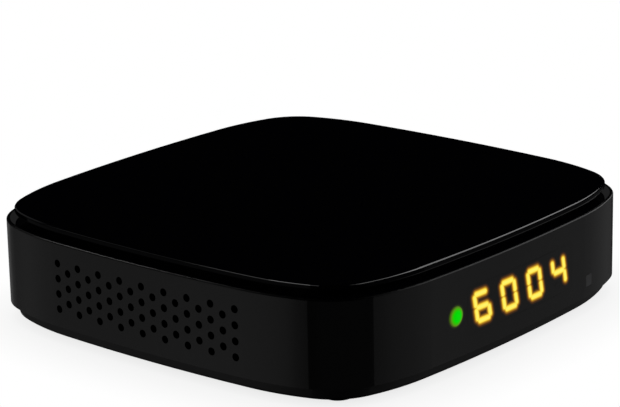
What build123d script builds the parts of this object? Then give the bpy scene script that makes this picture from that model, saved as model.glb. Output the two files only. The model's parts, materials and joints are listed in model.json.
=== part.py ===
from build123d import *

import os
from math import asin, cos, degrees, radians, sin, sqrt, tan

# Compact satellite TV receiver.
#
# A low, square box with bowed sides. A gloss lid plate floats over a gloss top cover, a satin
# wall with vents in both sides stands round it, and the cover is screwed down to a floor tray on
# four rubber feet. The front wall carries a status lamp, a four-digit display and an infrared
# window. The right wall has a USB socket, and the flat rear panel holds the two aerial
# connectors, the HDMI, AV and power sockets and the rocker switch.
#
# The origin is on the desk, under the middle of the overall footprint, which the aerial
# connectors lengthen. +Z is up and the front looks towards -Y. All sizes are millimetres.

os.makedirs("parts", exist_ok=True)

# ---------------------------------------------------------------- driving dimensions

# Plan of the case: four bowed sides, each meeting its corners through a shoulder arc
case_width = 130.0
case_depth = 128.0
side_radius = 490.0
shoulder_radius = 64.0
shoulder_turn = 16.0
corner_radius = 18.0

# Heights, from the desk upwards
foot_height = 1.2
skirt_height = 3.4
wall_height = 22.1
lid_gap = 1.4
lid_thickness = 1.6

# Shells
wall = 2.0
rim = 0.8
cover_thickness = 1.8
neck_inset = 5.0
lid_inset = 2.2
tray_floor = 2.0
tray_wall = 1.6
lip_height = 2.6
flange_thickness = 1.0
flange_width = 2.0
slide_gap = 0.2
seat_gap = 0.1
edge_round = 0.35
lid_round = 0.45
skirt_round = 0.8

# Lid pegs, set in from the sides of the case
peg_radius = 1.5
peg_length = 2.6
peg_from_side = 25.0
peg_from_front = 26.0

# Feet
foot_radius = 4.0
foot_seat = 0.8
foot_from_side = 15.0
foot_from_front = 15.3
foot_round = 0.4

# Case screws, up through the tray into the posts of the top cover
post_radius = 3.5
post_from_side = 11.5
post_from_front = 25.0
pad_radius = 5.0
pad_height = 2.0
case_screw_radius = 1.5
case_screw_length = 10.0
case_head_radius = 2.75
case_head_height = 1.9
head_sink = 2.4
pilot_gap = 0.05
clearance_gap = 0.2
drive_width = 0.6
drive_depth = 1.0
case_drive_size = 3.3

# Floor slots
floor_slot_width = 2.4
floor_slot_length = 26.0
floor_slot_pitch = 5.2
floor_slot_count = 8
floor_slot_rows = 34.0

# Side vents
vent_radius = 1.0
vent_row_pitch = 4.0
vent_column_pitch = 3.65
vent_columns = 17
vent_long_rows = 4
vent_top = 21.4
vent_margin = 1.2

# Main board
standoff_height = 3.0
standoff_radius = 2.75
board_thickness = 1.6
board_gap = 0.5
board_front_room = 12.6
board_wing_post_gap = 3.5
board_wing_gap = 2.5
board_corner = 8.0
board_screw_from_side = 19.2
board_screw_from_front = 18.0
board_screw_radius = 1.0
board_screw_length = 3.4
board_head_radius = 2.2
board_head_height = 1.4
board_head_round = 0.45
board_drive_size = 2.6
board_drive_depth = 0.7

# Rear panel, slid up a groove in the frame behind the rear wall
panel_recess = 4.5
panel_thickness = 1.5
panel_opening_width = 86.0
panel_opening_top = 2.0
panel_opening_sill = 1.6
panel_tongue = 2.0
panel_tongue_top = 1.3
frame_margin = 7.0
frame_back = 2.0

# Aerial connectors: 3/8-32 barrels on relieved shanks, with nuts outside the panel
aerial_radius = 4.7625
aerial_reach = 10.5
aerial_height = 6.6
lnb_x = 35.5
loop_x = 21.0
nut_flats = 11.0
nut_thickness = 2.0
nut_gap = 0.05
shank_relief = 0.3
shank_show = 0.5
aerial_bore = 3.4
aerial_floor = 1.5
insulator_sink = 1.0
contact_radius = 0.9
contact_bore = 0.45
barrel_chamfer = 0.4

# Tuner shield behind the aerial connectors
tuner_x = 28.0
tuner_width = 27.0
tuner_depth = 21.5
tuner_height = 13.0
tuner_sheet = 0.5
tuner_chip_size = 7.0
chip_height = 1.0

# HDMI socket
hdmi_x = 3.0
hdmi_width = 15.0
hdmi_height = 6.0
hdmi_depth = 12.0
hdmi_shoulder = 1.7
hdmi_step = 2.3
hdmi_sheet = 0.4
hdmi_tongue_width = 11.6
hdmi_tongue_thickness = 1.3
hdmi_block = 3.5
socket_proud = 0.3
tongue_sink = 1.2
cutout_gap = 0.35

# USB socket in the right wall
usb_from_wing_end = 10.0
usb_width = 13.2
usb_height = 5.8
usb_depth = 14.0
usb_sheet = 0.35
usb_lift = 0.6
usb_sink = 1.0
usb_tongue_width = 11.2
usb_tongue_thickness = 1.9
usb_tongue_rise = 1.1
usb_block = 4.5
usb_contact_width = 1.0
usb_contact_pitch = 2.2
usb_contact_length = 6.5
usb_contact_thickness = 0.2
usb_contacts_count = 4
usb_foot_length = 3.5
usb_foot_thickness = 0.6
usb_foot_place = 3.5

# AV jack
av_x = -10.5
av_width = 8.0
av_height = 6.6
av_depth = 13.0
av_nose_radius = 3.0
av_bore_radius = 1.8
av_bore_depth = 12.0

# Power inlet
inlet_x = -21.5
inlet_width = 9.0
inlet_height = 11.0
inlet_depth = 13.0
inlet_axis = 6.5
inlet_nose_radius = 4.0
inlet_nose = 0.4
inlet_bore_radius = 2.85
inlet_bore_depth = 10.0
inlet_pin_radius = 1.05
inlet_pin_sink = 1.0
inlet_pin_chamfer = 0.35

# Rocker switch
switch_x = -34.5
switch_rise = 6.6
switch_body_width = 9.2
switch_body_height = 12.8
switch_body_depth = 12.0
bezel_width = 11.0
bezel_height = 15.0
bezel_thickness = 1.6
bezel_round = 0.6
rocker_width = 6.4
rocker_height = 10.0
rocker_crown = 2.6
rocker_back = 2.0
rocker_throw = 20.0
rocker_side_gap = 0.2
rocker_end_gap = 0.75
rocker_floor_gap = 1.3
pivot_sink = 1.2
trunnion_radius = 0.8
trunnion_length = 0.9
trunnion_gap = 0.06
lug_width = 4.8
lug_thickness = 0.8
lug_length = 5.0
lug_pitch = 7.0
lead_radius = 0.7
lead_bend = 2.0
lead_reach = 2.4
lead_step = 2.6

# Display: a light bar for each stroke runs through the smoked window to its face
display_x = 3.35
display_z = 15.2
digit_pitch = 10.9
digit_width = 5.0
digit_height = 7.0
digit_lean = 12.0
bar_width = 1.2
bar_split = 0.15
bar_proud = 0.04
bar_gap = 0.03
window_width = 44.5
window_height = 12.0
window_gap = 0.04
window_corner = 0.6
module_width = 43.0
module_height = 12.8
module_depth = 6.4
module_gap = 0.9
display_board_thickness = 1.4
display_board_width = 88.0
cover_play = 0.3
guide_x = 41.0
guide_width = 3.0
guide_thickness = 1.6
guide_height = 5.0
guide_gap = 0.1

# Status lamp and infrared window
lamp_x = -23.1
lamp_z = 15.2
lamp_radius = 2.5
lamp_rim = 0.1
lamp_dome = 0.4
lamp_tail = 1.4
led_radius = 1.5
led_round = 1.35
led_flange_radius = 1.9
led_flange = 1.0
led_gap = 0.3
ir_x = 34.5
ir_z = 8.8
ir_size = 3.0
ir_corner = 0.3
receiver_width = 5.6
receiver_height = 6.8
receiver_depth = 3.0
receiver_eye = 1.3
receiver_round = 0.9

# Parts on the main board: places are measured from the middle of the case
soc_place = (2.0, -6.0)
soc_size = 19.0
soc_height = 1.3
thermal_pad_size = 15.0
thermal_pad_height = 0.5
sink_size = 24.0
sink_base = 2.0
sink_height = 9.0
fin_thickness = 1.2
fin_count = 7
memory_place = (2.0, -30.0)
memory_size = (13.5, 8.0)
flash_place = (-22.0, -8.0)
flash_size = (5.3, 5.3)
regulator_place = (24.0, 22.0)
regulator_size = (6.6, 6.2)
coil_places = [(-30.0, 20.0), (-18.0, 16.0), (8.0, 24.0)]
coil_size = 7.3
coil_height = 4.2
coil_round = 1.6
# each capacitor: x, distance in front of the rear panel, radius, height
capacitors = [
    (-21.5, 23.0, 4.0, 11.5),
    (-31.0, 23.0, 3.15, 9.0),
    (-6.0, 24.0, 3.15, 9.0),
    (34.0, 50.0, 2.5, 7.0),
]
crystal_place = (24.0, -14.0)
crystal_length = 11.0
crystal_width = 4.7
crystal_height = 3.5
header_x = -31.0
header_room = 9.3
header_width = 14.0
header_depth = 4.0
header_height = 5.0
plug_rise = 8.0
plug_depth = 2.0
ribbon_width = 11.0
ribbon_thickness = 0.4
ribbon_bend = 3.0

# ---------------------------------------------------------------- places worked out from them

half_width = case_width / 2
half_depth = case_depth / 2
case_y = -(aerial_reach - panel_recess) / 2

tray_bottom = foot_height
floor_top = tray_bottom + tray_floor
wall_bottom = tray_bottom + skirt_height
lip_top = wall_bottom + lip_height
wall_top = wall_bottom + wall_height
cover_bottom = wall_top - cover_thickness
platform_bottom = cover_bottom + lid_gap
lid_bottom = wall_top + lid_gap
pad_top = floor_top + pad_height
board_bottom = floor_top + standoff_height
board_top = board_bottom + board_thickness

tray_inset = wall + slide_gap
lip_inset = tray_inset + tray_wall
panel_face = half_depth - panel_recess
panel_back = panel_face - panel_thickness
frame_front = panel_back - frame_back
frame_width = panel_opening_width + 2 * frame_margin
opening_top = cover_bottom - panel_opening_top
opening_bottom = wall_bottom + panel_opening_sill
opening_height = opening_top - opening_bottom
panel_width = panel_opening_width + 2 * panel_tongue
panel_top = opening_top + panel_tongue_top

foot_x = half_width - foot_from_side
foot_y = half_depth - foot_from_front
peg_x = half_width - peg_from_side
peg_y = half_depth - peg_from_front
post_x = half_width - post_from_side
post_y = half_depth - post_from_front
board_screw_x = half_width - board_screw_from_side
board_screw_y = half_depth - board_screw_from_front

board_half_width = post_x - post_radius - board_gap
board_front = board_front_room - half_depth
board_rear = frame_front - board_gap
wing_half_width = half_width - lip_inset - board_wing_gap
board_wing_end = post_y - post_radius - board_wing_post_gap

module_face = wall + module_gap - half_depth
display_board_face = module_face + module_depth
display_board_back = display_board_face + display_board_thickness
socket_back = panel_back - cover_play
aerial_z = board_top + aerial_height
switch_z = board_top + switch_rise
pivot_y = panel_face - pivot_sink
inlet_z = board_top + inlet_axis
hdmi_z = board_top + hdmi_height / 2
av_z = board_top + av_height / 2
usb_y = usb_from_wing_end - board_wing_end
usb_z = board_top + usb_lift + usb_height / 2
sink_bottom = board_top + soc_height + thermal_pad_height


# ---------------------------------------------------------------- planes and outlines


def level(z):
    """Horizontal plane at height z, with its origin on the upright axis of the case."""
    return Plane((0, case_y, z))


def facing_rear(x, y, z):
    """Plane that looks out of the rear, at a point measured from the middle of the case."""
    return Plane((x, case_y + y, z), x_dir=(-1, 0, 0), z_dir=(0, 1, 0))


def facing_front(x, y, z):
    """Plane that looks out of the front, at a point measured from the middle of the case."""
    return Plane((x, case_y + y, z), x_dir=(1, 0, 0), z_dir=(0, -1, 0))


def facing_right(x, y, z):
    """Plane that looks out of the right side, at a point measured from the middle of the case."""
    return Plane((x, case_y + y, z), x_dir=(0, 1, 0), z_dir=(1, 0, 0))


def bow_angles():
    """Half angles in degrees of the front and side arcs that give the case its width and depth.

    Each pass puts the last angles into the two sums of arc lengths and solves for new ones, and
    what is left of the error shrinks about fivefold each time.
    """
    passes = 30
    turn = radians(shoulder_turn)
    long_step = side_radius - shoulder_radius
    short_step = shoulder_radius - corner_radius
    front = 0.0
    side = 0.0
    for _ in range(passes):
        across = half_width - side_radius + long_step * cos(side)
        along = half_depth - side_radius + long_step * cos(front)
        across -= short_step * (sin(front + turn) - cos(side + turn))
        along -= short_step * (sin(side + turn) - cos(front + turn))
        front = asin(across / long_step)
        side = asin(along / long_step)
    return degrees(front), degrees(side)


front_bow, side_bow = bow_angles()
corner_turn = 90 - front_bow - side_bow - 2 * shoulder_turn


class CaseOutline(BaseSketchObject):
    """Face of the case's plan, drawn inwards by inset, with each arc kept on its own centre."""

    def __init__(self, inset=0.0, mode=Mode.ADD):
        shoulder = (shoulder_radius, shoulder_turn)
        corner = [shoulder, (corner_radius, corner_turn), shoulder]
        arcs = (corner + [(side_radius, 2 * side_bow)] + corner + [(side_radius, 2 * front_bow)]) * 2
        bow = radians(front_bow)
        arm = side_radius - inset
        start = Vector(arm * sin(bow), side_radius - half_depth - arm * cos(bow))
        heading = Vector(cos(bow), sin(bow))
        with BuildSketch() as plan:
            with BuildLine():
                for radius, turn in arcs:
                    arc = JernArc(start, heading, radius - inset, turn)
                    start = arc @ 1
                    heading = arc % 1
            make_face()
        super().__init__(plan.sketch.face(), align=None, mode=mode)


def corner_points(x, y):
    """The four places that mirror (x, y) into the corners of the case."""
    return [(side * x, end * y) for side in (-1, 1) for end in (-1, 1)]


def cross_slot(size):
    """Cross-head drive drawn in the current sketch."""
    Rectangle(size, drive_width)
    Rectangle(drive_width, size)


# ---------------------------------------------------------------- shells

# Satin wall ring. A rim stands round the top cover, a flange inside rests on the tray's lip, and
# a thick frame behind the rear wall has the groove that the rear panel slides up.
def vent_points(skipped_from, skipped_to):
    """Vent centres as (y, z), staggered, leaving out the columns between two places along y."""
    points = []
    for column in range(vent_columns):
        y = (column - (vent_columns - 1) / 2) * vent_column_pitch
        if skipped_from < y < skipped_to:
            continue
        short = column % 2
        for row in range(vent_long_rows - short):
            points.append((y, vent_top - (row + short / 2) * vent_row_pitch))
    return points


usb_room = usb_width / 2 + vent_radius + vent_margin
left_vents = vent_points(0, 0)
right_vents = vent_points(usb_y - usb_room, usb_y + usb_room)
wall_depth = 2 * (wall + flange_width)

with BuildPart() as housing:
    with BuildSketch(level(wall_bottom)):
        CaseOutline()
    extrude(amount=wall_height)
    fillet(housing.edges().group_by(Axis.Z)[-1], edge_round)
    # room for the electronics, which leaves the frame standing at the rear
    with BuildSketch(level(wall_bottom)):
        CaseOutline(wall)
        with Locations((0, half_depth)):
            Rectangle(frame_width, 2 * (half_depth - frame_front), mode=Mode.SUBTRACT)
    extrude(amount=wall_height, mode=Mode.SUBTRACT)
    # rebate that the top cover drops into
    with BuildSketch(level(cover_bottom)):
        CaseOutline(rim)
    extrude(amount=cover_thickness, mode=Mode.SUBTRACT)
    # flange on the tray's lip
    with BuildSketch(level(lip_top)):
        CaseOutline(wall)
        CaseOutline(wall + flange_width, mode=Mode.SUBTRACT)
    extrude(amount=flange_thickness)
    # opening for the sockets, and the panel's groove, which is open to the tray
    with BuildSketch(facing_rear(0, frame_front, opening_bottom)):
        Rectangle(panel_opening_width, opening_height, align=(Align.CENTER, Align.MIN))
    extrude(amount=half_depth, mode=Mode.SUBTRACT)
    with BuildSketch(facing_rear(0, panel_back - seat_gap, wall_bottom)):
        Rectangle(
            panel_width + 2 * seat_gap,
            panel_top + seat_gap - wall_bottom,
            align=(Align.CENTER, Align.MIN),
        )
    extrude(amount=panel_thickness + 2 * seat_gap, mode=Mode.SUBTRACT)
    # vents
    with BuildSketch(facing_right(half_width - wall_depth, 0, 0)):
        with Locations(*right_vents):
            Circle(vent_radius)
    extrude(amount=2 * wall_depth, mode=Mode.SUBTRACT)
    with BuildSketch(facing_right(wall_depth - half_width, 0, 0)):
        with Locations(*left_vents):
            Circle(vent_radius)
    extrude(amount=-2 * wall_depth, mode=Mode.SUBTRACT)
    # USB opening
    with BuildSketch(facing_right(half_width - wall_depth, usb_y, usb_z)):
        Rectangle(usb_width + 2 * cutout_gap, usb_height + 2 * cutout_gap)
    extrude(amount=2 * wall_depth, mode=Mode.SUBTRACT)
    # openings in the front for the display window, the lamp and the infrared window
    with BuildSketch(facing_front(0, wall_depth - half_depth, 0)):
        with Locations((display_x, display_z)):
            RectangleRounded(
                window_width + 2 * window_gap, window_height + 2 * window_gap, window_corner + window_gap
            )
        with Locations((lamp_x, lamp_z)):
            Circle(lamp_radius + window_gap)
        with Locations((ir_x, ir_z)):
            RectangleRounded(ir_size + 2 * window_gap, ir_size + 2 * window_gap, ir_corner + window_gap)
    extrude(amount=2 * wall_depth, mode=Mode.SUBTRACT)
housing.part.label = "housing"
export_step(housing.part, "parts/housing.step")

# Gloss top cover. It fills the rebate inside the rim, and its raised platform carries the lid.
# Four hollow posts reach down to the tray for the case screws.
post_bottom = pad_top
pilot_depth = case_screw_length + head_sink
with BuildPart() as top_cover:
    with BuildSketch(level(cover_bottom)):
        CaseOutline(rim + seat_gap)
    extrude(amount=cover_thickness)
    with BuildSketch(level(cover_bottom)):
        CaseOutline(neck_inset)
    extrude(amount=cover_thickness + lid_gap)
    with BuildSketch(level(cover_bottom)):
        CaseOutline(neck_inset + cover_thickness)
    extrude(amount=lid_gap, mode=Mode.SUBTRACT)
    with BuildSketch(level(post_bottom)):
        with Locations(*corner_points(post_x, post_y)):
            Circle(post_radius)
    extrude(amount=platform_bottom - post_bottom)
    with BuildSketch(level(post_bottom)):
        with Locations(*corner_points(post_x, post_y)):
            Circle(case_screw_radius + pilot_gap)
    extrude(amount=pilot_depth, mode=Mode.SUBTRACT)
    with BuildSketch(level(platform_bottom)):
        with Locations(*corner_points(peg_x, peg_y)):
            Circle(peg_radius + seat_gap)
    extrude(amount=cover_thickness, mode=Mode.SUBTRACT)
top_cover.part.label = "top_cover"
export_step(top_cover.part, "parts/top_cover.step")

# Gloss lid plate, lying on the platform and held by four pegs.
with BuildPart() as lid:
    with BuildSketch(level(lid_bottom)):
        CaseOutline(lid_inset)
    extrude(amount=lid_thickness)
    fillet(lid.edges().group_by(Axis.Z)[-1], lid_round)
    fillet(lid.edges().group_by(Axis.Z)[0], lid_round)
    with BuildSketch(level(lid_bottom)):
        with Locations(*corner_points(peg_x, peg_y)):
            Circle(peg_radius)
    extrude(amount=-peg_length)
lid.part.label = "lid"
export_step(lid.part, "parts/lid.step")

# Floor tray: skirt, lip inside the wall, sill under the rear frame, screw pads, board standoffs,
# display guides, air slots and the seats of the feet.
with BuildPart() as base_tray:
    with BuildSketch(level(tray_bottom)):
        CaseOutline(tray_inset)
    extrude(amount=lip_top - tray_bottom)
    fillet(base_tray.edges().group_by(Axis.Z)[0], skirt_round)
    with BuildSketch(level(floor_top)):
        CaseOutline(lip_inset)
    extrude(amount=lip_top - floor_top, mode=Mode.SUBTRACT)
    # the lip makes way for the frame, and the sill under it carries the panel
    with BuildSketch(level(wall_bottom)):
        with Locations((0, half_depth)):
            Rectangle(frame_width + 2 * slide_gap, 2 * (half_depth - frame_front + slide_gap))
    extrude(amount=lip_height, mode=Mode.SUBTRACT)
    with BuildSketch(level(floor_top)):
        CaseOutline(tray_inset)
        with Locations((0, half_depth)):
            Rectangle(frame_width, 2 * (half_depth - frame_front), mode=Mode.INTERSECT)
    extrude(amount=wall_bottom - floor_top)
    # screw pads with sunk heads
    with BuildSketch(level(floor_top)):
        with Locations(*corner_points(post_x, post_y)):
            Circle(pad_radius)
    extrude(amount=pad_height)
    with BuildSketch(level(tray_bottom)):
        with Locations(*corner_points(post_x, post_y)):
            Circle(case_head_radius + clearance_gap)
    extrude(amount=head_sink, mode=Mode.SUBTRACT)
    with BuildSketch(level(tray_bottom)):
        with Locations(*corner_points(post_x, post_y)):
            Circle(case_screw_radius + clearance_gap)
    extrude(amount=pad_top - tray_bottom, mode=Mode.SUBTRACT)
    # board standoffs with blind pilot holes
    with BuildSketch(level(floor_top)):
        with Locations(*corner_points(board_screw_x, board_screw_y)):
            Circle(standoff_radius)
            Circle(board_screw_radius + pilot_gap, mode=Mode.SUBTRACT)
    extrude(amount=standoff_height)
    # pairs of ribs that hold the display board upright
    with BuildSketch(level(floor_top)):
        for side in (-guide_x, guide_x):
            with Locations((side, display_board_face - guide_gap)):
                Rectangle(guide_width, guide_thickness, align=(Align.CENTER, Align.MAX))
            with Locations((side, display_board_back + guide_gap)):
                Rectangle(guide_width, guide_thickness, align=(Align.CENTER, Align.MIN))
    extrude(amount=guide_height)
    # air slots
    with BuildSketch(level(tray_bottom)):
        with Locations((0, -floor_slot_rows / 2), (0, floor_slot_rows / 2)):
            with GridLocations(floor_slot_pitch, 0, floor_slot_count, 1):
                SlotOverall(floor_slot_length, floor_slot_width, rotation=90)
    extrude(amount=tray_floor, mode=Mode.SUBTRACT)
    # seats of the feet
    with BuildSketch(level(tray_bottom)):
        with Locations(*corner_points(foot_x, foot_y)):
            Circle(foot_radius + seat_gap)
    extrude(amount=foot_seat, mode=Mode.SUBTRACT)
base_tray.part.label = "base_tray"
export_step(base_tray.part, "parts/base_tray.step")

# Four rubber feet, glued into their seats.
with BuildPart() as rubber_feet:
    with BuildSketch(level(0)):
        with Locations(*corner_points(foot_x, foot_y)):
            Circle(foot_radius)
    extrude(amount=foot_height + foot_seat)
    fillet(rubber_feet.edges().group_by(Axis.Z)[0], foot_round)
rubber_feet.part.label = "rubber_feet"
export_step(rubber_feet.part, "parts/rubber_feet.step")

# Four case screws with sunk cross heads.
head_top = tray_bottom + head_sink
with BuildPart() as case_screws:
    with BuildSketch(level(head_top - case_head_height)):
        with Locations(*corner_points(post_x, post_y)):
            Circle(case_head_radius)
    extrude(amount=case_head_height)
    with BuildSketch(level(head_top)):
        with Locations(*corner_points(post_x, post_y)):
            Circle(case_screw_radius)
    extrude(amount=case_screw_length)
    with BuildSketch(level(head_top - case_head_height)):
        with Locations(*corner_points(post_x, post_y)):
            cross_slot(case_drive_size)
    extrude(amount=drive_depth, mode=Mode.SUBTRACT)
case_screws.part.label = "case_screws"
export_step(case_screws.part, "parts/case_screws.step")

# Rear panel with a cut-out for each socket.
with BuildPart() as rear_panel:
    with BuildSketch(facing_rear(0, panel_back, wall_bottom)):
        Rectangle(panel_width, panel_top - wall_bottom, align=(Align.CENTER, Align.MIN))
    extrude(amount=panel_thickness)
    with BuildSketch(facing_rear(0, panel_back, 0)):
        with Locations((-lnb_x, aerial_z), (-loop_x, aerial_z)):
            Circle(aerial_radius + clearance_gap)
        with Locations((-hdmi_x, hdmi_z)):
            Rectangle(hdmi_width + 2 * cutout_gap, hdmi_height + 2 * cutout_gap)
        with Locations((-av_x, av_z)):
            Circle(av_nose_radius + cutout_gap)
        with Locations((-inlet_x, inlet_z)):
            Circle(inlet_nose_radius + cutout_gap)
        with Locations((-switch_x, switch_z)):
            Rectangle(switch_body_width + 2 * seat_gap, switch_body_height + 2 * seat_gap)
    extrude(amount=panel_thickness, mode=Mode.SUBTRACT)
rear_panel.part.label = "rear_panel"
export_step(rear_panel.part, "parts/rear_panel.step")

# ---------------------------------------------------------------- front: display, lamp, infrared

# Strokes that each shown digit lights, and where the middle of each stroke lies, in half widths
# and quarter heights from the middle of the digit
shown_digits = "6004"
lit_strokes = {"0": "abcdef", "4": "bcfg", "6": "acdefg"}
stroke_middles = {
    "a": (0, 2),
    "b": (1, 1),
    "c": (1, -1),
    "d": (0, -2),
    "e": (-1, -1),
    "f": (-1, 1),
    "g": (0, 0),
}


def stroke_corners(stroke, grow):
    """Corners of one upright stroke, mitred to a point at both ends, from the digit's middle."""
    across, up = stroke_middles[stroke]
    middle_u = across * digit_width / 2
    middle_v = up * digit_height / 4
    half_bar = bar_width / 2 + grow
    half_span = digit_height / 4 if across else digit_width / 2
    tip = half_span - bar_split + sqrt(2) * grow
    shoulder = tip - half_bar
    corners = [
        (-tip, 0.0),
        (-shoulder, -half_bar),
        (shoulder, -half_bar),
        (tip, 0.0),
        (shoulder, half_bar),
        (-shoulder, half_bar),
    ]
    if across:
        return [(middle_u - side, middle_v + along) for along, side in corners]
    return [(middle_u + along, middle_v + side) for along, side in corners]


def display_strokes(lit, grow=0.0):
    """Draws the lit or the unlit strokes of all digits, each leaning with its digit."""
    lean = tan(radians(digit_lean))
    for place, digit in enumerate(shown_digits):
        x = display_x + (place - (len(shown_digits) - 1) / 2) * digit_pitch
        for stroke in stroke_middles:
            if (stroke in lit_strokes[digit]) != lit:
                continue
            corners = stroke_corners(stroke, grow)
            Polygon(*[(x + u - lean * v, display_z + v) for u, v in corners], align=None)


wall_level = level(wall_bottom)

# Smoked display window, flush with the wall, with a slot for each light bar.
with BuildPart() as display_window:
    with BuildSketch(facing_front(0, wall_depth - half_depth, 0)):
        with Locations((display_x, display_z)):
            RectangleRounded(window_width, window_height, window_corner)
    extrude(amount=2 * wall_depth)
    with BuildSketch(wall_level):
        CaseOutline()
        CaseOutline(wall, mode=Mode.SUBTRACT)
    extrude(amount=wall_height, mode=Mode.INTERSECT)
    with BuildSketch(facing_front(0, wall_depth - half_depth, 0)):
        display_strokes(True, bar_gap)
        display_strokes(False, bar_gap)
    extrude(amount=2 * wall_depth, mode=Mode.SUBTRACT)
display_window.part.label = "display_window"
export_step(display_window.part, "parts/display_window.step")

# Light bars, standing on the module's face and ending just proud of the window.
with BuildPart() as light_bars_lit:
    with BuildSketch(facing_front(0, module_face, 0)):
        display_strokes(True)
    extrude(amount=wall_depth)
    with BuildSketch(wall_level):
        CaseOutline(-bar_proud)
    extrude(amount=wall_height, mode=Mode.INTERSECT)
light_bars_lit.part.label = "light_bars_lit"
export_step(light_bars_lit.part, "parts/light_bars_lit.step")

with BuildPart() as light_bars_unlit:
    with BuildSketch(facing_front(0, module_face, 0)):
        display_strokes(False)
    extrude(amount=wall_depth)
    with BuildSketch(wall_level):
        CaseOutline()
    extrude(amount=wall_height, mode=Mode.INTERSECT)
light_bars_unlit.part.label = "light_bars_unlit"
export_step(light_bars_unlit.part, "parts/light_bars_unlit.step")

# Four-digit LED module behind the window.
with BuildPart() as display_module:
    with BuildSketch(facing_front(display_x, module_face, display_z)):
        Rectangle(module_width, module_height)
    extrude(amount=-module_depth)
display_module.part.label = "display_module"
export_step(display_module.part, "parts/display_module.step")

# Upright display board, standing in the tray's guides under the top cover.
with BuildPart() as display_board:
    with BuildSketch(facing_front(0, display_board_face, floor_top)):
        Rectangle(
            display_board_width,
            cover_bottom - cover_play - floor_top,
            align=(Align.CENTER, Align.MIN),
        )
    extrude(amount=-display_board_thickness)
display_board.part.label = "display_board"
export_step(display_board.part, "parts/display_board.step")

# Lamp: a clear lens with a low dome, just proud of the wall, lit by an LED on the display board.
lens_back = wall + lamp_tail - half_depth
lens_rim = side_radius - half_depth - sqrt(side_radius**2 - lamp_x**2) - lamp_rim
lens_tip = lens_rim - lamp_dome
with BuildPart() as status_lens:
    with BuildSketch(level(lamp_z)):
        with BuildLine():
            TangentArc((lamp_x, lens_tip), (lamp_x + lamp_radius, lens_rim), tangent=(1, 0))
            Polyline(
                (lamp_x + lamp_radius, lens_rim),
                (lamp_x + lamp_radius, lens_back),
                (lamp_x, lens_back),
                (lamp_x, lens_tip),
            )
        make_face()
    revolve(axis=Axis((lamp_x, case_y, lamp_z), (0, 1, 0)))
status_lens.part.label = "status_lens"
export_step(status_lens.part, "parts/status_lens.step")

led_length = display_board_face - lens_back - led_gap
with BuildPart() as status_led:
    with BuildSketch(facing_front(lamp_x, display_board_face, lamp_z)):
        Circle(led_radius)
    extrude(amount=led_length)
    fillet(status_led.edges().group_by(Axis.Y)[0], led_round)
    with BuildSketch(facing_front(lamp_x, display_board_face, lamp_z)):
        Circle(led_flange_radius)
    extrude(amount=led_flange)
status_led.part.label = "status_led"
export_step(status_led.part, "parts/status_led.step")

# Infrared window flush in the wall, and the receiver behind it.
with BuildPart() as ir_window:
    with BuildSketch(facing_front(ir_x, wall_depth - half_depth, ir_z)):
        RectangleRounded(ir_size, ir_size, ir_corner)
    extrude(amount=2 * wall_depth)
    with BuildSketch(wall_level):
        CaseOutline()
        CaseOutline(wall, mode=Mode.SUBTRACT)
    extrude(amount=wall_height, mode=Mode.INTERSECT)
ir_window.part.label = "ir_window"
export_step(ir_window.part, "parts/ir_window.step")

with BuildPart() as ir_receiver:
    with BuildSketch(facing_front(ir_x, display_board_face, ir_z)):
        Rectangle(receiver_width, receiver_height)
    extrude(amount=receiver_depth - receiver_eye)
    with BuildSketch(facing_front(ir_x, display_board_face, ir_z)):
        Circle(receiver_width / 2 - seat_gap)
    extrude(amount=receiver_depth)
    fillet(ir_receiver.edges().group_by(Axis.Y)[0], receiver_round)
ir_receiver.part.label = "ir_receiver"
export_step(ir_receiver.part, "parts/ir_receiver.step")

# ---------------------------------------------------------------- main board and its parts

# Main board: narrow between the posts, with wings towards both sides.
with BuildPart() as main_board:
    with BuildSketch(level(board_bottom)):
        with Locations((0, (board_front + board_rear) / 2)):
            RectangleRounded(2 * board_half_width, board_rear - board_front, board_corner)
        Rectangle(2 * wing_half_width, 2 * board_wing_end)
        with Locations(*corner_points(board_screw_x, board_screw_y)):
            Circle(board_screw_radius + clearance_gap, mode=Mode.SUBTRACT)
    extrude(amount=board_thickness)
main_board.part.label = "main_board"
export_step(main_board.part, "parts/main_board.step")

with BuildPart() as board_screws:
    with BuildSketch(level(board_top)):
        with Locations(*corner_points(board_screw_x, board_screw_y)):
            Circle(board_head_radius)
    extrude(amount=board_head_height)
    fillet(board_screws.edges().group_by(Axis.Z)[-1], board_head_round)
    with BuildSketch(level(board_top)):
        with Locations(*corner_points(board_screw_x, board_screw_y)):
            Circle(board_screw_radius)
    extrude(amount=-board_screw_length)
    with BuildSketch(level(board_top + board_head_height)):
        with Locations(*corner_points(board_screw_x, board_screw_y)):
            cross_slot(board_drive_size)
    extrude(amount=-board_drive_depth, mode=Mode.SUBTRACT)
board_screws.part.label = "board_screws"
export_step(board_screws.part, "parts/board_screws.step")

# Main processor under its pad and finned heat sink.
with BuildPart() as soc_chip:
    with BuildSketch(level(board_top)):
        with Locations(soc_place):
            Rectangle(soc_size, soc_size)
    extrude(amount=soc_height)
soc_chip.part.label = "soc_chip"
export_step(soc_chip.part, "parts/soc_chip.step")

with BuildPart() as thermal_pad:
    with BuildSketch(level(board_top + soc_height)):
        with Locations(soc_place):
            Rectangle(thermal_pad_size, thermal_pad_size)
    extrude(amount=thermal_pad_height)
thermal_pad.part.label = "thermal_pad"
export_step(thermal_pad.part, "parts/thermal_pad.step")

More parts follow.
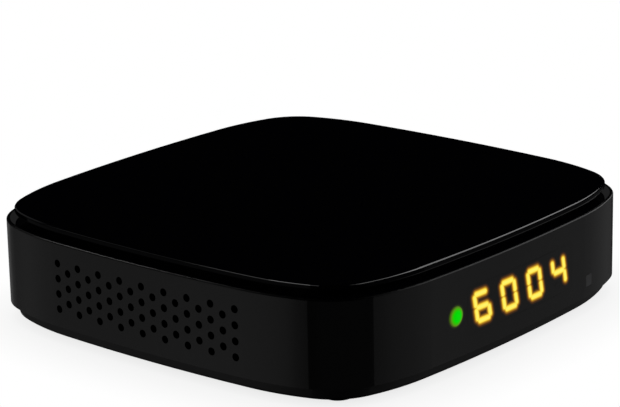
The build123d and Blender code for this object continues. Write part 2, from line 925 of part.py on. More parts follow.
fin_pitch = (sink_size - fin_thickness) / (fin_count - 1)
with BuildPart() as heat_sink:
    with BuildSketch(level(sink_bottom)):
        with Locations(soc_place):
            Rectangle(sink_size, sink_size)
    extrude(amount=sink_base)
    with BuildSketch(level(sink_bottom)):
        with Locations(soc_place):
            with GridLocations(fin_pitch, 0, fin_count, 1):
                Rectangle(fin_thickness, sink_size)
    extrude(amount=sink_height)
heat_sink.part.label = "heat_sink"
export_step(heat_sink.part, "parts/heat_sink.step")

with BuildPart() as memory_chip:
    with BuildSketch(level(board_top)):
        with Locations(memory_place):
            Rectangle(*memory_size)
    extrude(amount=chip_height)
memory_chip.part.label = "memory_chip"
export_step(memory_chip.part, "parts/memory_chip.step")

with BuildPart() as flash_chip:
    with BuildSketch(level(board_top)):
        with Locations(flash_place):
            Rectangle(*flash_size)
    extrude(amount=chip_height)
flash_chip.part.label = "flash_chip"
export_step(flash_chip.part, "parts/flash_chip.step")

with BuildPart() as lnb_regulator:
    with BuildSketch(level(board_top)):
        with Locations(regulator_place):
            Rectangle(*regulator_size)
    extrude(amount=chip_height)
lnb_regulator.part.label = "lnb_regulator"
export_step(lnb_regulator.part, "parts/lnb_regulator.step")

with BuildPart() as power_coils:
    with BuildSketch(level(board_top)):
        with Locations(*coil_places):
            RectangleRounded(coil_size, coil_size, coil_round)
    extrude(amount=coil_height)
power_coils.part.label = "power_coils"
export_step(power_coils.part, "parts/power_coils.step")

with BuildPart() as smoothing_capacitors:
    for x, from_panel, radius, height in capacitors:
        with BuildSketch(level(board_top)):
            with Locations((x, panel_back - from_panel)):
                Circle(radius)
        extrude(amount=height)
    fillet(smoothing_capacitors.edges().filter_by(GeomType.CIRCLE), edge_round)
smoothing_capacitors.part.label = "smoothing_capacitors"
export_step(smoothing_capacitors.part, "parts/smoothing_capacitors.step")

with BuildPart() as clock_crystal:
    with BuildSketch(level(board_top)):
        with Locations(crystal_place):
            SlotOverall(crystal_length, crystal_width)
    extrude(amount=crystal_height)
    fillet(clock_crystal.edges().group_by(Axis.Z)[-1], edge_round)
clock_crystal.part.label = "clock_crystal"
export_step(clock_crystal.part, "parts/clock_crystal.step")

# Ribbon between the display board and the main board, with a header at each end.
header_y = display_board_back + header_room
header_top = board_top + header_height
plug_z = board_top + plug_rise
with BuildPart() as ribbon_headers:
    with BuildSketch(level(board_top)):
        with Locations((header_x, header_y)):
            Rectangle(header_width, header_depth)
    extrude(amount=header_height)
    with BuildSketch(facing_rear(header_x, display_board_back, plug_z)):
        Rectangle(header_width, header_depth)
    extrude(amount=plug_depth)
ribbon_headers.part.label = "ribbon_headers"
export_step(ribbon_headers.part, "parts/ribbon_headers.step")

ribbon_start = display_board_back + plug_depth
with BuildPart() as display_ribbon:
    with BuildSketch(facing_right(header_x, 0, 0)):
        with BuildLine():
            FilletPolyline(
                (ribbon_start, plug_z),
                (header_y, plug_z),
                (header_y, header_top),
                radius=ribbon_bend - ribbon_thickness,
            )
        trace(line_width=ribbon_thickness)
    extrude(amount=ribbon_width / 2, both=True)
display_ribbon.part.label = "display_ribbon"
export_step(display_ribbon.part, "parts/display_ribbon.step")

# ---------------------------------------------------------------- tuner and aerial connectors

tuner_middle = socket_back - tuner_depth / 2
with BuildPart() as tuner_can:
    with BuildSketch(level(board_top)):
        with Locations((tuner_x, tuner_middle)):
            Rectangle(tuner_width, tuner_depth)
            Rectangle(tuner_width - 2 * tuner_sheet, tuner_depth - 2 * tuner_sheet, mode=Mode.SUBTRACT)
    extrude(amount=tuner_height)
tuner_can.part.label = "tuner_can"
export_step(tuner_can.part, "parts/tuner_can.step")

with BuildPart() as tuner_cover:
    with BuildSketch(level(board_top + tuner_height)):
        with Locations((tuner_x, tuner_middle)):
            Rectangle(tuner_width, tuner_depth)
    extrude(amount=tuner_sheet)
tuner_cover.part.label = "tuner_cover"
export_step(tuner_cover.part, "parts/tuner_cover.step")

with BuildPart() as tuner_chip:
    with BuildSketch(level(board_top)):
        with Locations((tuner_x, tuner_middle)):
            Rectangle(tuner_chip_size, tuner_chip_size)
    extrude(amount=chip_height)
tuner_chip.part.label = "tuner_chip"
export_step(tuner_chip.part, "parts/tuner_chip.step")

# Each aerial connector stands on the tuner's wall, passes through the panel and holds its nut on
# the shank. A cable's plug screws onto the barrel beyond.
shank_radius = aerial_radius - shank_relief
shank_length = panel_face + nut_thickness + shank_show - socket_back
barrel_length = panel_face + aerial_reach - socket_back
aerial_places = ((lnb_x, "lnb_in_connector"), (loop_x, "loop_out_connector"))
for aerial_x, aerial_name in aerial_places:
    with BuildPart() as aerial_connector:
        with BuildSketch(facing_rear(aerial_x, socket_back, aerial_z)):
            Circle(shank_radius)
        extrude(amount=shank_length)
        with BuildSketch(facing_rear(aerial_x, socket_back + shank_length, aerial_z)):
            Circle(aerial_radius)
        extrude(amount=barrel_length - shank_length)
        chamfer(aerial_connector.edges().group_by(Axis.Y)[-1], barrel_chamfer)
        with BuildSketch(facing_rear(aerial_x, socket_back + aerial_floor, aerial_z)):
            Circle(aerial_bore)
        extrude(amount=barrel_length, mode=Mode.SUBTRACT)
    aerial_connector.part.label = aerial_name
    export_step(aerial_connector.part, f"parts/{aerial_name}.step")

insulator_length = barrel_length - aerial_floor - insulator_sink
with BuildPart() as aerial_insulators:
    with BuildSketch(facing_rear(0, socket_back + aerial_floor, aerial_z)):
        with Locations((-lnb_x, 0), (-loop_x, 0)):
            Circle(aerial_bore - seat_gap / 2)
            Circle(contact_radius + seat_gap / 2, mode=Mode.SUBTRACT)
    extrude(amount=insulator_length)
aerial_insulators.part.label = "aerial_insulators"
export_step(aerial_insulators.part, "parts/aerial_insulators.step")

with BuildPart() as aerial_contacts:
    with BuildSketch(facing_rear(0, socket_back + aerial_floor, aerial_z)):
        with Locations((-lnb_x, 0), (-loop_x, 0)):
            Circle(contact_radius)
            Circle(contact_bore, mode=Mode.SUBTRACT)
    extrude(amount=insulator_length)
aerial_contacts.part.label = "aerial_contacts"
export_step(aerial_contacts.part, "parts/aerial_contacts.step")

with BuildPart() as aerial_nuts:
    with BuildSketch(facing_rear(0, panel_face, aerial_z)):
        with Locations((-lnb_x, 0), (-loop_x, 0)):
            RegularPolygon(nut_flats / 2, 6, major_radius=False, rotation=30)
            Circle(shank_radius + nut_gap, mode=Mode.SUBTRACT)
    extrude(amount=nut_thickness)
aerial_nuts.part.label = "aerial_nuts"
export_step(aerial_nuts.part, "parts/aerial_nuts.step")

# ---------------------------------------------------------------- HDMI, USB, AV and power sockets


def hdmi_profile(shrink, mode=Mode.ADD):
    """Outline of the HDMI socket, with its narrow lower edge, drawn inwards by shrink."""
    half = hdmi_width / 2 - shrink
    top = hdmi_height / 2 - shrink
    step = hdmi_step - shrink
    foot = half - hdmi_shoulder
    right_side = [(half, top), (half, step - top), (foot, -top)]
    left_side = [(-x, z) for x, z in reversed(right_side)]
    Polygon(*right_side, *left_side, align=None, mode=mode)


hdmi_back = panel_face + socket_proud - hdmi_depth
with BuildPart() as hdmi_shell:
    with BuildSketch(facing_rear(hdmi_x, hdmi_back, hdmi_z)):
        hdmi_profile(0)
    extrude(amount=hdmi_depth)
    with BuildSketch(facing_rear(hdmi_x, hdmi_back + hdmi_sheet, hdmi_z)):
        hdmi_profile(hdmi_sheet)
    extrude(amount=hdmi_depth, mode=Mode.SUBTRACT)
hdmi_shell.part.label = "hdmi_shell"
export_step(hdmi_shell.part, "parts/hdmi_shell.step")

with BuildPart() as hdmi_insert:
    with BuildSketch(facing_rear(hdmi_x, hdmi_back + hdmi_sheet, hdmi_z)):
        hdmi_profile(hdmi_sheet + seat_gap)
    extrude(amount=hdmi_block)
    with BuildSketch(facing_rear(hdmi_x, hdmi_back + hdmi_sheet, hdmi_z)):
        Rectangle(hdmi_tongue_width, hdmi_tongue_thickness)
    extrude(amount=hdmi_depth - hdmi_sheet - tongue_sink)
hdmi_insert.part.label = "hdmi_insert"
export_step(hdmi_insert.part, "parts/hdmi_insert.step")

usb_mouth = half_width - usb_sink
usb_back = usb_mouth - usb_depth
with BuildPart() as usb_shell:
    with BuildSketch(facing_right(usb_back, usb_y, usb_z)):
        Rectangle(usb_width, usb_height)
    extrude(amount=usb_depth)
    with BuildSketch(facing_right(usb_back + usb_sheet, usb_y, usb_z)):
        Rectangle(usb_width - 2 * usb_sheet, usb_height - 2 * usb_sheet)
    extrude(amount=usb_depth, mode=Mode.SUBTRACT)
    # two feet down to the board
    with BuildSketch(level(board_top)):
        for end in (-1, 1):
            with Locations((usb_back + usb_foot_place, usb_y + end * (usb_width - usb_foot_thickness) / 2)):
                Rectangle(usb_foot_length, usb_foot_thickness)
    extrude(amount=usb_lift)
usb_shell.part.label = "usb_shell"
export_step(usb_shell.part, "parts/usb_shell.step")

usb_inner_width = usb_width - 2 * usb_sheet - 2 * seat_gap
usb_inner_height = usb_height - 2 * usb_sheet - 2 * seat_gap
with BuildPart() as usb_insert:
    with BuildSketch(facing_right(usb_back + usb_sheet, usb_y, usb_z)):
        Rectangle(usb_inner_width, usb_inner_height)
    extrude(amount=usb_block)
    with BuildSketch(facing_right(usb_back + usb_sheet, usb_y, usb_z + usb_tongue_rise)):
        Rectangle(usb_tongue_width, usb_tongue_thickness)
    extrude(amount=usb_depth - usb_sheet - tongue_sink)
usb_insert.part.label = "usb_insert"
export_step(usb_insert.part, "parts/usb_insert.step")

usb_tongue_bottom = usb_z + usb_tongue_rise - usb_tongue_thickness / 2
with BuildPart() as usb_contacts:
    with BuildSketch(level(usb_tongue_bottom)):
        with Locations((usb_back + usb_sheet + usb_block, usb_y)):
            with GridLocations(0, usb_contact_pitch, 1, usb_contacts_count):
                Rectangle(usb_contact_length, usb_contact_width, align=(Align.MIN, Align.CENTER))
    extrude(amount=-usb_contact_thickness)
usb_contacts.part.label = "usb_contacts"
export_step(usb_contacts.part, "parts/usb_contacts.step")

av_back = socket_back - av_depth
with BuildPart() as av_jack:
    with BuildSketch(facing_rear(av_x, av_back, av_z)):
        Rectangle(av_width, av_height)
    extrude(amount=av_depth)
    with BuildSketch(facing_rear(av_x, socket_back, av_z)):
        Circle(av_nose_radius)
    extrude(amount=panel_face + socket_proud - socket_back)
    with BuildSketch(facing_rear(av_x, panel_face + socket_proud, av_z)):
        Circle(av_bore_radius)
    extrude(amount=-av_bore_depth, mode=Mode.SUBTRACT)
av_jack.part.label = "av_jack"
export_step(av_jack.part, "parts/av_jack.step")

inlet_mouth = panel_face + inlet_nose
with BuildPart() as power_inlet:
    with BuildSketch(facing_rear(inlet_x, socket_back - inlet_depth, board_top)):
        Rectangle(inlet_width, inlet_height, align=(Align.CENTER, Align.MIN))
    extrude(amount=inlet_depth)
    with BuildSketch(facing_rear(inlet_x, socket_back, inlet_z)):
        Circle(inlet_nose_radius)
    extrude(amount=inlet_mouth - socket_back)
    with BuildSketch(facing_rear(inlet_x, inlet_mouth, inlet_z)):
        Circle(inlet_bore_radius)
    extrude(amount=-inlet_bore_depth, mode=Mode.SUBTRACT)
power_inlet.part.label = "power_inlet"
export_step(power_inlet.part, "parts/power_inlet.step")

with BuildPart() as inlet_pin:
    with BuildSketch(facing_rear(inlet_x, inlet_mouth - inlet_bore_depth, inlet_z)):
        Circle(inlet_pin_radius)
    extrude(amount=inlet_bore_depth - inlet_pin_sink)
    chamfer(inlet_pin.edges().group_by(Axis.Y)[-1], inlet_pin_chamfer)
inlet_pin.part.label = "inlet_pin"
export_step(inlet_pin.part, "parts/inlet_pin.step")

# ---------------------------------------------------------------- rocker switch

cavity_half_height = rocker_height / 2 + rocker_end_gap
cavity_half_width = rocker_width / 2 + rocker_side_gap
cavity_back = pivot_y - rocker_back - rocker_floor_gap
switch_back = panel_face - switch_body_depth
with BuildPart() as switch_body:
    with BuildSketch(facing_rear(switch_x, switch_back, switch_z)):
        Rectangle(switch_body_width, switch_body_height)
    extrude(amount=switch_body_depth)
    with BuildSketch(facing_rear(switch_x, panel_face, switch_z)):
        RectangleRounded(bezel_width, bezel_height, bezel_round)
    extrude(amount=bezel_thickness)
    fillet(switch_body.edges().group_by(Axis.Y)[-1], edge_round)
    with BuildSketch(facing_rear(switch_x, cavity_back, switch_z)):
        Rectangle(2 * cavity_half_width, 2 * cavity_half_height)
    extrude(amount=switch_body_depth, mode=Mode.SUBTRACT)
    # blind holes for the rocker's trunnions
    with BuildSketch(facing_right(switch_x, pivot_y, switch_z)):
        Circle(trunnion_radius + trunnion_gap)
    extrude(amount=rocker_width / 2 + trunnion_length + seat_gap, both=True, mode=Mode.SUBTRACT)
switch_body.part.label = "switch_body"
export_step(switch_body.part, "parts/switch_body.step")

# The rocker's two faces meet in a shallow valley. It is tipped half its throw, top pressed in.
rocker_tip = radians(rocker_throw / 2)
rocker_plane = Plane(
    (switch_x, case_y + pivot_y, switch_z), x_dir=(0, cos(rocker_tip), sin(rocker_tip)), z_dir=(1, 0, 0)
)
rocker_end = rocker_crown + rocker_height / 2 * tan(rocker_tip)
with BuildPart() as power_rocker:
    with BuildSketch(rocker_plane):
        Polygon(
            (-rocker_back, -rocker_height / 2),
            (rocker_end, -rocker_height / 2),
            (rocker_crown, 0),
            (rocker_end, rocker_height / 2),
            (-rocker_back, rocker_height / 2),
            align=None,
        )
    extrude(amount=rocker_width / 2, both=True)
    with BuildSketch(rocker_plane):
        Circle(trunnion_radius)
    extrude(amount=rocker_width / 2 + trunnion_length, both=True)
power_rocker.part.label = "power_rocker"
export_step(power_rocker.part, "parts/power_rocker.step")

with BuildPart() as switch_lugs:
    with BuildSketch(facing_rear(switch_x, switch_back, switch_z)):
        with GridLocations(0, lug_pitch, 1, 2):
            Rectangle(lug_width, lug_thickness)
    extrude(amount=-lug_length)
switch_lugs.part.label = "switch_lugs"
export_step(switch_lugs.part, "parts/switch_lugs.step")

# Two insulated leads from the lugs down to the board, the upper one passing outside the lower.
lug_end = switch_back - lug_length
with BuildPart() as switch_leads:
    for lug, reach in ((-lug_pitch / 2, lead_reach), (lug_pitch / 2, lead_reach + lead_step)):
        lug_z = switch_z + lug
        with BuildLine(facing_right(switch_x, 0, 0)) as lead_path:
            FilletPolyline(
                (lug_end, lug_z), (lug_end - reach, lug_z), (lug_end - reach, board_top), radius=lead_bend
            )
        with BuildSketch(facing_rear(switch_x, lug_end, lug_z)):
            Circle(lead_radius)
        sweep(path=lead_path.line)
switch_leads.part.label = "switch_leads"
export_step(switch_leads.part, "parts/switch_leads.step")
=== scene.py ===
import json
from math import cos, pi, radians, sin, tan

import bmesh
import bpy
from mathutils import Matrix, Vector


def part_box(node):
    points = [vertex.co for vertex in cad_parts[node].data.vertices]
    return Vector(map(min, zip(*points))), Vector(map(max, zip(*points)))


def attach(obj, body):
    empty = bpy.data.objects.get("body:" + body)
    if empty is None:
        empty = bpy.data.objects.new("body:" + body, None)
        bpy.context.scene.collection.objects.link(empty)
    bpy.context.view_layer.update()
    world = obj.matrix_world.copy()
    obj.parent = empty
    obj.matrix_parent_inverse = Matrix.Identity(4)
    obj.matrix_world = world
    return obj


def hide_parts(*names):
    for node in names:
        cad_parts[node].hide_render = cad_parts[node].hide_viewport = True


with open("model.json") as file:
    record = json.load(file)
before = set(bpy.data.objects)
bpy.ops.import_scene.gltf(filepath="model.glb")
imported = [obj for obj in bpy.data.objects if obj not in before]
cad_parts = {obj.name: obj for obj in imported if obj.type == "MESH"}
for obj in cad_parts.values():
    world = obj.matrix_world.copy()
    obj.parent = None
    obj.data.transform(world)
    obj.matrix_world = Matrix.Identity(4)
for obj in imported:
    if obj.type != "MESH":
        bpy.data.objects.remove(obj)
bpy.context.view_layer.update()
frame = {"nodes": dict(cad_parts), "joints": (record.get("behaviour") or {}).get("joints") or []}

scene = bpy.context.scene

# ---------------------------------------------------------------- camera
# A long lens at the left front corner, a little above the lid, so that the left side and the
# front both show and the lid is seen as a thin ellipse.
camera_place = (-0.50383, -0.42508, 0.22455)
camera_azimuth = radians(-49.992)
camera_elevation = radians(16.771)
camera_roll = radians(-1.143)
camera = bpy.data.objects.new("camera", bpy.data.cameras.new("camera"))
camera.data.sensor_width = 36.0
camera.data.lens = 154.16
camera.data.clip_start = 0.01
camera.matrix_world = (
    Matrix.Translation(camera_place)
    @ Matrix.Rotation(camera_azimuth, 4, "Z")
    @ Matrix.Rotation(radians(90) - camera_elevation, 4, "X")
    @ Matrix.Rotation(camera_roll, 4, "Z")
)
scene.collection.objects.link(camera)
scene.camera = camera
scene.view_settings.view_transform = "Standard"


# ---------------------------------------------------------------- floor and backdrop
# A white sweep that looks evenly lit, with a painted contact shadow: ambient occlusion darkens its white
# into a soft line where the feet stand. Light passes through it, as through a glass table, so softboxes below
# its level are mirrored in the walls.
def add(tree, kind, feeds=None, **settings):
    """Adds a shader node. Each feed is a value for that input, or the output linked to it."""
    made = tree.nodes.new("ShaderNode" + kind)
    for name, value in settings.items():
        setattr(made, name, value)
    for place, value in (feeds or {}).items():
        if isinstance(value, bpy.types.NodeSocket):
            tree.links.new(value, made.inputs[place])
        else:
            made.inputs[place].default_value = value
    return made


# places of the two colour inputs and of the colour output of a Mix node
mix_a, mix_b, mix_colour = 6, 7, 2

floor_half = 5.0
floor_drop = 0.00005
# painted contact shadow: how far the ambient occlusion reaches, how dark it makes the floor's white, and its
# samples
painted_shadow_reach = 0.02
painted_shadow_dark = 0.8
painted_shadow_samples = 12
room_white = (1.0, 1.0, 1.0, 1.0)
room_dim = (0.0008, 0.0008, 0.0011, 1.0)

floor_material = bpy.data.materials.new("floor_white")
floor_material.use_nodes = True
floor_tree = floor_material.node_tree
floor_tree.nodes.remove(floor_tree.nodes["Principled BSDF"])
# painted shadow: ambient occlusion darkens the floor's emitted white to a soft grey line round the feet
contact = add(floor_tree, "AmbientOcclusion", {"Distance": painted_shadow_reach}, samples=painted_shadow_samples)
painted_shadow = add(floor_tree, "MapRange", {"Value": contact.outputs["AO"], "To Min": painted_shadow_dark, "To Max": 1.0})
shown_floor = add(floor_tree, "Emission", {"Color": painted_shadow.outputs["Result"]})
seen = add(floor_tree, "LightPath").outputs["Is Camera Ray"]
below = add(floor_tree, "NewGeometry").outputs["Backfacing"]
seen_from_above = add(floor_tree, "Math", {0: seen, 1: below}, operation="SUBTRACT", use_clamp=True)
see_through = add(floor_tree, "BsdfTransparent")
floor_shader = add(
    floor_tree,
    "MixShader",
    {"Fac": seen_from_above.outputs[0], 1: see_through.outputs[0], 2: shown_floor.outputs[0]},
)
floor_tree.links.new(floor_shader.outputs[0], floor_tree.nodes["Material Output"].inputs["Surface"])

floor_bm = bmesh.new()
bmesh.ops.create_grid(floor_bm, x_segments=1, y_segments=1, size=floor_half)
bmesh.ops.translate(floor_bm, verts=floor_bm.verts, vec=(0, 0, -floor_drop))
floor_mesh = bpy.data.meshes.new("floor")
floor_bm.to_mesh(floor_mesh)
floor_bm.free()
floor_mesh.materials.append(floor_material)
floor = bpy.data.objects.new("floor", floor_mesh)
scene.collection.objects.link(floor)

world = bpy.data.worlds.new("studio")
world.use_nodes = True
scene.world = world
world_ray = add(world.node_tree, "LightPath")
world_mix = add(
    world.node_tree,
    "Mix",
    {"Factor": world_ray.outputs["Is Camera Ray"], mix_a: room_dim, mix_b: room_white},
    data_type="RGBA",
)
backdrop = world.node_tree.nodes["Background"]
world.node_tree.links.new(world_mix.outputs[mix_colour], backdrop.inputs["Color"])


# ---------------------------------------------------------------- softboxes
# A ring of low boxes is mirrored in the satin walls, brighter at the sides than towards the camera,
# which leaves the near corner dark. High boxes draw the thin lines on the rims of lid and wall.
# Each is linked to the pieces that it reaches, so that gloss and satin are lit apart.
def light_link(name, nodes, state):
    """Collection by which a light reaches only the named nodes, or all but them."""
    linked = bpy.data.collections.new(name)
    for node in nodes:
        linked.objects.link(frame["nodes"][node])
    for entry in linked.collection_objects:
        entry.light_linking.link_state = state
    return linked


def softbox(name, turn, far, height, wide, tall, radiance, reached):
    """Area light facing the case, at an angle from the -X axis towards -Y, that reaches the linked pieces."""
    lamp = bpy.data.lights.new(name, "AREA")
    lamp.shape = "RECTANGLE"
    lamp.size = wide
    lamp.size_y = tall
    lamp.energy = radiance * pi * wide * tall
    light = bpy.data.objects.new(name, lamp)
    place = Vector((-far * cos(radians(turn)), -far * sin(radians(turn)), height))
    light.matrix_world = Matrix.Translation(place) @ place.to_track_quat("Z", "Y").to_matrix().to_4x4()
    light.visible_camera = False
    light.light_linking.receiver_collection = reached
    scene.collection.objects.link(light)


gloss_nodes = ("lid", "top_cover")
not_gloss = light_link("not_gloss", gloss_nodes, "EXCLUDE")
gloss_only = light_link("gloss_only", gloss_nodes, "INCLUDE")
ledge_only = light_link("ledge_only", ["top_cover"], "INCLUDE")

low_far = 0.80
low_height = -0.26
low_tall = 0.50
for name, turn, wide, radiance, reached in (
    ("low_far_left", -57, 0.54, 0.175, not_gloss),
    ("low_left", -20, 0.54, 0.228, not_gloss),
    ("low_camera", 50, 1.20, 0.034, not_gloss),
    ("low_front", 116, 0.52, 0.155, not_gloss),
    ("low_right", 158, 0.80, 0.135, not_gloss),
    ("low_back", 228, 1.00, 0.18, not_gloss),
    ("low_rear", -90, 0.40, 0.09, not_gloss),
    ("side_left", -37, 1.27, 0.035, gloss_only),
    ("side_front", 116, 0.52, 0.012, gloss_only),
    ("side_right", 158, 0.80, 0.030, gloss_only),
):
    softbox(name, turn, low_far, low_height, wide, low_tall, radiance, reached)

high_far = 0.95
for name, turn, height, wide, tall, radiance, reached in (
    ("high_right", 159, 0.72, 1.20, 0.52, 2.4, gloss_only),
    ("high_front", 110, 0.64, 1.00, 0.36, 2.6, gloss_only),
    ("high_near_right", 76, 0.64, 0.20, 0.36, 0.6, gloss_only),
    ("high_near_left", 10, 0.54, 0.20, 0.32, 1.2, gloss_only),
    ("high_left", -8, 0.54, 0.40, 0.32, 4.2, gloss_only),
    ("high_mid_left", -28, 0.54, 0.36, 0.32, 1.5, gloss_only),
    ("high_far_left", -50, 0.54, 0.46, 0.32, 0.22, gloss_only),
    ("high_wall", 158, 0.484, 1.45, 0.69, 0.9, not_gloss),
    ("strip_back", -92, 0.95, 0.9, 0.10, 4.0, not_gloss),
):
    softbox(name, turn, high_far, height, wide, tall, radiance, reached)

softbox("gloss_back", -95, 1.00, 0.45, 0.9, 0.50, 0.10, gloss_only)
softbox("ledge_back", 222, 1.10, 0.34, 0.9, 0.30, 0.06, ledge_only)


# ---------------------------------------------------------------- floor tray, feet and screws
# The tray is moulded from charcoal plastic with a spark-eroded grain. Its rubber feet are glued
# into shallow seats, and zinc-plated screws go up through it into the top cover.
def new_group(name, takes, gives):
    """Empty shader node group with the named inputs and outputs, and its two end nodes."""
    group = bpy.data.node_groups.new(name, "ShaderNodeTree")
    for socket, kind in takes.items():
        group.interface.new_socket(socket, in_out="INPUT", socket_type="NodeSocket" + kind)
    for socket, kind in gives.items():
        group.interface.new_socket(socket, in_out="OUTPUT", socket_type="NodeSocket" + kind)
    return group, group.nodes.new("NodeGroupInput"), group.nodes.new("NodeGroupOutput")


# fine grain of a moulded surface, and the slow drift of its sheen and shade
drift_scale = 45.0
grain_share = 0.35
grain_group, grain_in, grain_out = new_group(
    "moulded_grain",
    {"Place": "Vector", "Grain Size": "Float", "Roughness": "Float", "Drift": "Float"},
    {"Height": "Float", "Roughness": "Float", "Shade": "Float"},
)
grain_scale = add(grain_group, "Math", {0: 1.0, 1: grain_in.outputs["Grain Size"]}, operation="DIVIDE")
grain = add(
    grain_group,
    "TexNoise",
    {"Vector": grain_in.outputs["Place"], "Scale": grain_scale.outputs[0], "Detail": 2.0},
)
drift = add(
    grain_group,
    "TexNoise",
    {"Vector": grain_in.outputs["Place"], "Scale": drift_scale, "Detail": 3.0},
)
swing = add(grain_group, "MapRange", {"Value": drift.outputs["Fac"], "To Min": -1.0, "To Max": 1.0})
sheen = add(
    grain_group,
    "Math",
    {0: swing.outputs["Result"], 1: grain_in.outputs["Drift"], 2: grain_in.outputs["Roughness"]},
    operation="MULTIPLY_ADD",
)
mixed = add(
    grain_group,
    "Mix",
    {"Factor": grain_share, "A": drift.outputs["Fac"], "B": grain.outputs["Fac"]},
)
for give, source in (
    ("Height", grain.outputs["Fac"]),
    ("Roughness", sheen.outputs[0]),
    ("Shade", mixed.outputs[0]),
):
    grain_group.links.new(source, grain_out.inputs[give])


def shaded(tree, factor, colour, spread):
    """Colour that swings by a share of itself, darker and lighter, with the factor."""
    dark = [channel * (1 - spread) for channel in colour] + [1.0]
    light = [channel * (1 + spread) for channel in colour] + [1.0]
    shade = add(tree, "Mix", {"Factor": factor, mix_a: dark, mix_b: light}, data_type="RGBA")
    return shade.outputs[mix_colour]


def moulded(name, colour, roughness, grain_size=0.00018, depth=0.000006, drift=0.05, spread=0.15):
    """Moulded plastic or rubber, with its grain as bump."""
    material = bpy.data.materials.new(name)
    material.use_nodes = True
    tree = material.node_tree
    shader = tree.nodes["Principled BSDF"]
    place = add(tree, "TexCoord").outputs["Object"]
    grain = add(
        tree,
        "Group",
        {"Place": place, "Grain Size": grain_size, "Roughness": roughness, "Drift": drift},
        node_tree=grain_group,
    )
    bump = add(tree, "Bump", {"Height": grain.outputs["Height"], "Strength": 1.0, "Distance": depth})
    tree.links.new(shaded(tree, grain.outputs["Shade"], colour, spread), shader.inputs["Base Color"])
    tree.links.new(grain.outputs["Roughness"], shader.inputs["Roughness"])
    tree.links.new(bump.outputs["Normal"], shader.inputs["Normal"])
    return material


# drawn, plated or cut metal: fine streaks along one axis
metal_group, metal_in, metal_out = new_group(
    "metal_streaks",
    {"Place": "Vector", "Stretch": "Vector", "Roughness": "Float", "Drift": "Float"},
    {"Height": "Float", "Roughness": "Float", "Shade": "Float"},
)
streak_place = add(
    metal_group,
    "VectorMath",
    {0: metal_in.outputs["Place"], 1: metal_in.outputs["Stretch"]},
    operation="MULTIPLY",
)
streaks = add(metal_group, "TexNoise", {"Vector": streak_place.outputs[0], "Scale": 1.0, "Detail": 4.0})
streak_swing = add(metal_group, "MapRange", {"Value": streaks.outputs["Fac"], "To Min": -1.0, "To Max": 1.0})
streak_sheen = add(
    metal_group,
    "Math",
    {0: streak_swing.outputs["Result"], 1: metal_in.outputs["Drift"], 2: metal_in.outputs["Roughness"]},
    operation="MULTIPLY_ADD",
)
for give, source in (
    ("Height", streaks.outputs["Fac"]),
    ("Roughness", streak_sheen.outputs[0]),
    ("Shade", streaks.outputs["Fac"]),
):
    metal_group.links.new(source, metal_out.inputs[give])


def metal(name, colour, roughness, stretch=(3000.0, 400.0, 3000.0), depth=0.000002, drift=0.12, spread=0.1):
    """Bare or plated metal with streaks that the stretch turns and scales."""
    material = bpy.data.materials.new(name)
    material.use_nodes = True
    tree = material.node_tree
    shader = tree.nodes["Principled BSDF"]
    shader.inputs["Metallic"].default_value = 1.0
    place = add(tree, "TexCoord").outputs["Object"]
    streak = add(
        tree,
        "Group",
        {"Place": place, "Stretch": stretch, "Roughness": roughness, "Drift": drift},
        node_tree=metal_group,
    )
    bump = add(tree, "Bump", {"Height": streak.outputs["Height"], "Strength": 1.0, "Distance": depth})
    tree.links.new(shaded(tree, streak.outputs["Shade"], colour, spread), shader.inputs["Base Color"])
    tree.links.new(streak.outputs["Roughness"], shader.inputs["Roughness"])
    tree.links.new(bump.outputs["Normal"], shader.inputs["Normal"])
    return material


def dress(material, *nodes):
    """Gives CAD nodes their finish."""
    for name in nodes:
        frame["nodes"][name].material_slots[0].material = material


dress(moulded("tray_charcoal", (0.0050, 0.0050, 0.0054), 0.46, depth=0.00001), "base_tray")
dress(moulded("foot_rubber", (0.012, 0.012, 0.012), 0.75, grain_size=0.0003, depth=0.00002), "rubber_feet")
dress(metal("zinc_plate", (0.60, 0.60, 0.57), 0.33), "case_screws", "board_screws")

# ---------------------------------------------------------------- main board
# A green glass-fibre board with copper tracks under its mask. It carries moulded chips, the
# processor under its pad and heat sink, coils, capacitors and the clock crystal.
track_width = 0.00018
track_run = 0.009
track_pitch = 0.0013
board_material = moulded("board_green", (0.012, 0.11, 0.045), 0.35, depth=0.000004)
board_tree = board_material.node_tree
track_place = add(board_tree, "TexCoord").outputs["Object"]
tracks = add(
    board_tree,
    "TexBrick",
    {
        "Vector": track_place,
        "Color1": (0.010, 0.09, 0.036, 1.0),
        "Color2": (0.014, 0.12, 0.050, 1.0),
        "Mortar": (0.045, 0.21, 0.085, 1.0),
        "Scale": 1.0,
        "Mortar Size": track_width,
        "Brick Width": track_run,
        "Row Height": track_pitch,
    },
    offset=0.37,
)
board_tree.links.new(tracks.outputs["Color"], board_tree.nodes["Principled BSDF"].inputs["Base Color"])
dress(board_material, "main_board", "display_board")
dress(
    moulded("chip_black", (0.014, 0.014, 0.015), 0.55, grain_size=0.0001),
    "soc_chip",
    "memory_chip",
    "flash_chip",
    "lnb_regulator",
    "tuner_chip",
)
dress(moulded("pad_grey", (0.16, 0.19, 0.24), 0.8), "thermal_pad")
dress(metal("sink_aluminium", (0.72, 0.73, 0.75), 0.38), "heat_sink", "smoothing_capacitors")
dress(moulded("coil_grey", (0.022, 0.022, 0.024), 0.6, grain_size=0.00025, depth=0.00002), "power_coils")
dress(metal("can_steel", (0.66, 0.66, 0.63), 0.28), "clock_crystal", "tuner_can", "tuner_cover")
dress(moulded("header_ivory", (0.62, 0.55, 0.42), 0.5), "ribbon_headers")

